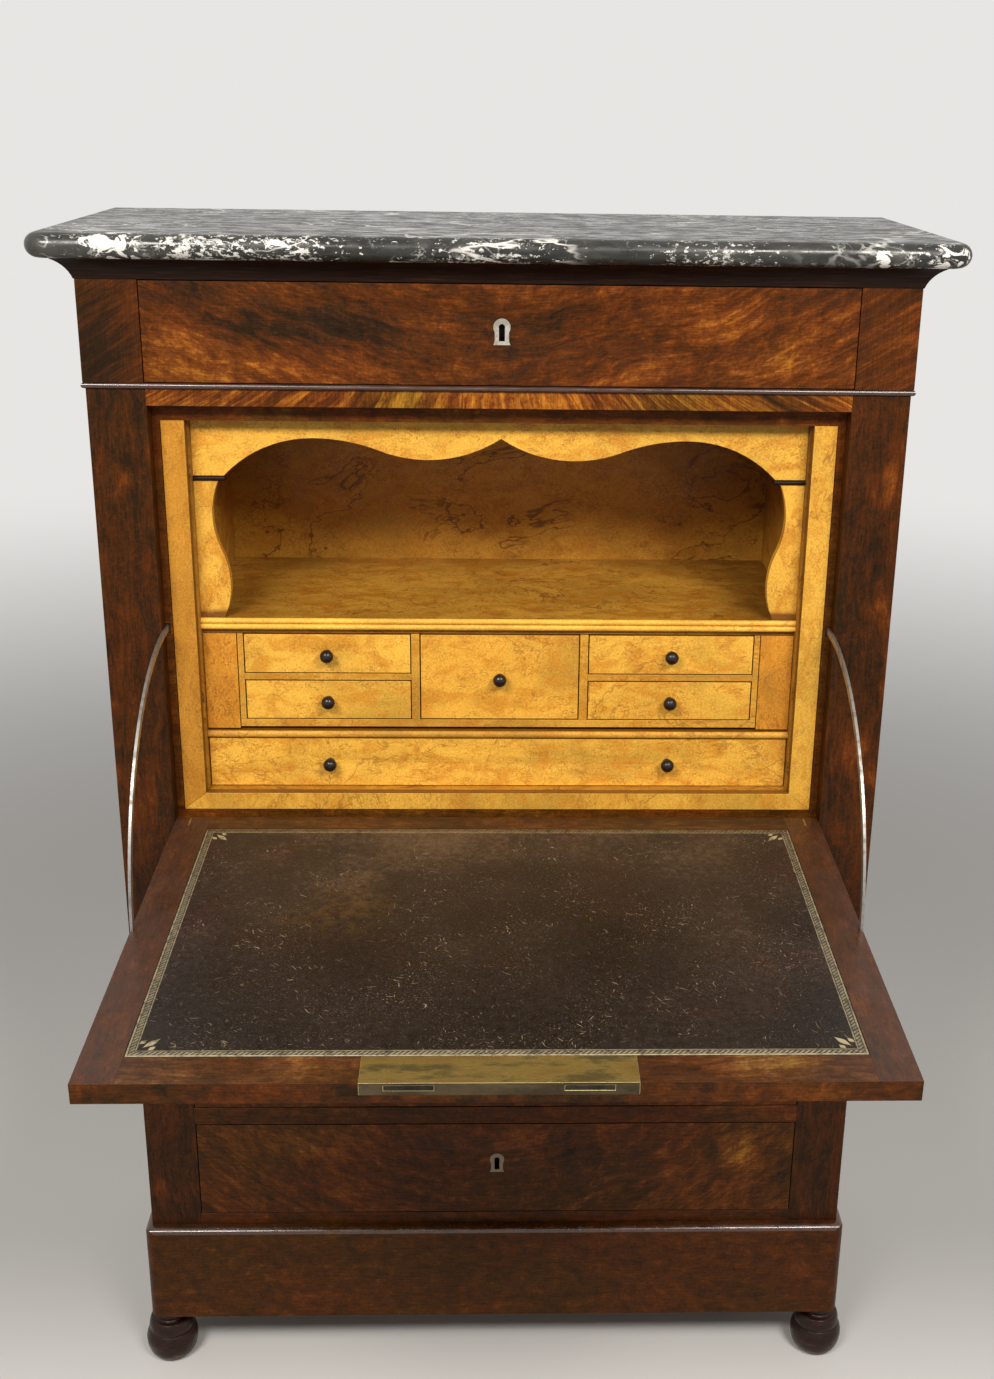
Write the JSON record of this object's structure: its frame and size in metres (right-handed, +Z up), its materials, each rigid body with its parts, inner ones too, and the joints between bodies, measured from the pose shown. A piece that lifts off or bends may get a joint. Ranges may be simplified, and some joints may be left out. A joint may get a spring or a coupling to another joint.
{
  "type": "drop-front secretary",
  "caption": "Tall case with a marble top, a fall that opens on quadrant stays into a leathered writing surface, a maple interior with a niche, and long drawers on bun feet.",
  "frame": {"origin": "on the floor, under the centre of the box that holds the part with its fall open", "axes": "+X to the viewer's right, +Y from the front to the back, +Z up; the front faces -Y"},
  "size_m": [0.993, 0.8598, 1.4813],
  "materials": {
    "marble": null,
    "mahogany": "flame-figured mahogany veneer, old french polish",
    "dark_moulding": "dark stained mahogany moulding, polished",
    "maple": "golden figured maple veneer, polished",
    "plain_wood": "plain sawn carcase wood, unpolished",
    "ebonised_wood": "turned wood, stained black and polished",
    "leather": "worn dark leather with a tooled border",
    "brass": "aged brass",
    "steel": "old forged steel, dull with bright edges"
  },
  "bodies": {
    "carcase": {"marble_top": "marble", "top_board": "plain_wood", "cornice": "dark_moulding", "frieze_blocks": "mahogany", "bead_moulding": "dark_moulding", "side_panels": "mahogany", "pilasters": "mahogany", "upper_rail": "mahogany", "fall_stops": "dark_moulding", "deck_board": "plain_wood", "drawer_rails": "mahogany", "dust_boards": "plain_wood", "drawer_guides": "plain_wood", "bottom_board": "plain_wood", "plinth": "mahogany", "corner_blocks": "plain_wood", "bun_feet": "ebonised_wood", "back_frame": "plain_wood", "back_panels": "plain_wood", "hinge_pins": "brass", "maple_frame": "maple", "unit_case": "maple", "niche_shelf": "maple", "valance": "maple", "valance_beads": "dark_moulding", "side_brackets": "maple", "row_boards": "maple", "blank_panels": "maple"},
    "fall": {"fall_frame": "mahogany", "fall_panel": "plain_wood", "fall_leather": "leather", "fall_lock_plate": "brass", "fall_lock_case": "steel", "fall_hinge_sockets": "brass", "stays": "steel"},
    "fall_bolts": {"fall_bolts": "steel"},
    "frieze_drawer": {"frieze_drawer": "mahogany", "frieze_drawer_lock": "brass"},
    "frieze_drawer_bolt": {"frieze_drawer_bolt": "steel"},
    "upper_drawer": {"upper_drawer": "mahogany", "upper_drawer_lock": "brass"},
    "upper_drawer_bolt": {"upper_drawer_bolt": "steel"},
    "middle_drawer": {"middle_drawer": "mahogany", "middle_drawer_lock": "brass"},
    "middle_drawer_bolt": {"middle_drawer_bolt": "steel"},
    "lower_drawer": {"lower_drawer": "mahogany", "lower_drawer_lock": "brass"},
    "lower_drawer_bolt": {"lower_drawer_bolt": "steel"},
    "wide_drawer": {"wide_drawer": "maple", "wide_drawer_knobs": "ebonised_wood"},
    "centre_drawer": {"centre_drawer": "maple", "centre_drawer_knob": "ebonised_wood"},
    "left_top_drawer": {"left_top_drawer": "maple", "left_top_drawer_knob": "ebonised_wood"},
    "left_low_drawer": {"left_low_drawer": "maple", "left_low_drawer_knob": "ebonised_wood"},
    "right_top_drawer": {"right_top_drawer": "maple", "right_top_drawer_knob": "ebonised_wood"},
    "right_low_drawer": {"right_low_drawer": "maple", "right_low_drawer_knob": "ebonised_wood"}
  },
  "joints": [
    {"name": "fall_hinge", "type": "hinge", "parent": "carcase", "child": "fall", "pos_m": [0, 0.08035, 0.7865], "axis": [1, 0, 0], "range_deg": [-92, 0]},
    {"name": "fall_bolt_slide", "type": "slide", "parent": "fall", "child": "fall_bolts", "axis": [0, -0.9994, -0.0349], "range_m": [0, 0.009]},
    {"name": "frieze_drawer_slide", "type": "slide", "parent": "carcase", "child": "frieze_drawer", "axis": [0, -1, 0], "range_m": [0, 0.24]},
    {"name": "frieze_drawer_bolt_slide", "type": "slide", "parent": "frieze_drawer", "child": "frieze_drawer_bolt", "axis": [0, 0, 1], "range_m": [0, 0.008]},
    {"name": "upper_drawer_slide", "type": "slide", "parent": "carcase", "child": "upper_drawer", "axis": [0, -1, 0], "range_m": [0, 0.24]},
    {"name": "upper_drawer_bolt_slide", "type": "slide", "parent": "upper_drawer", "child": "upper_drawer_bolt", "axis": [0, 0, 1], "range_m": [0, 0.008]},
    {"name": "middle_drawer_slide", "type": "slide", "parent": "carcase", "child": "middle_drawer", "axis": [0, -1, 0], "range_m": [0, 0.24]},
    {"name": "middle_drawer_bolt_slide", "type": "slide", "parent": "middle_drawer", "child": "middle_drawer_bolt", "axis": [0, 0, 1], "range_m": [0, 0.008]},
    {"name": "lower_drawer_slide", "type": "slide", "parent": "carcase", "child": "lower_drawer", "axis": [0, -1, 0], "range_m": [0, 0.24]},
    {"name": "lower_drawer_bolt_slide", "type": "slide", "parent": "lower_drawer", "child": "lower_drawer_bolt", "axis": [0, 0, 1], "range_m": [0, 0.008]},
    {"name": "wide_drawer_slide", "type": "slide", "parent": "carcase", "child": "wide_drawer", "axis": [0, -1, 0], "range_m": [0, 0.16]},
    {"name": "centre_drawer_slide", "type": "slide", "parent": "carcase", "child": "centre_drawer", "axis": [0, -1, 0], "range_m": [0, 0.16]},
    {"name": "left_top_drawer_slide", "type": "slide", "parent": "carcase", "child": "left_top_drawer", "axis": [0, -1, 0], "range_m": [0, 0.16]},
    {"name": "left_low_drawer_slide", "type": "slide", "parent": "carcase", "child": "left_low_drawer", "axis": [0, -1, 0], "range_m": [0, 0.16]},
    {"name": "right_top_drawer_slide", "type": "slide", "parent": "carcase", "child": "right_top_drawer", "axis": [0, -1, 0], "range_m": [0, 0.16]},
    {"name": "right_low_drawer_slide", "type": "slide", "parent": "carcase", "child": "right_low_drawer", "axis": [0, -1, 0], "range_m": [0, 0.16]}
  ]
}
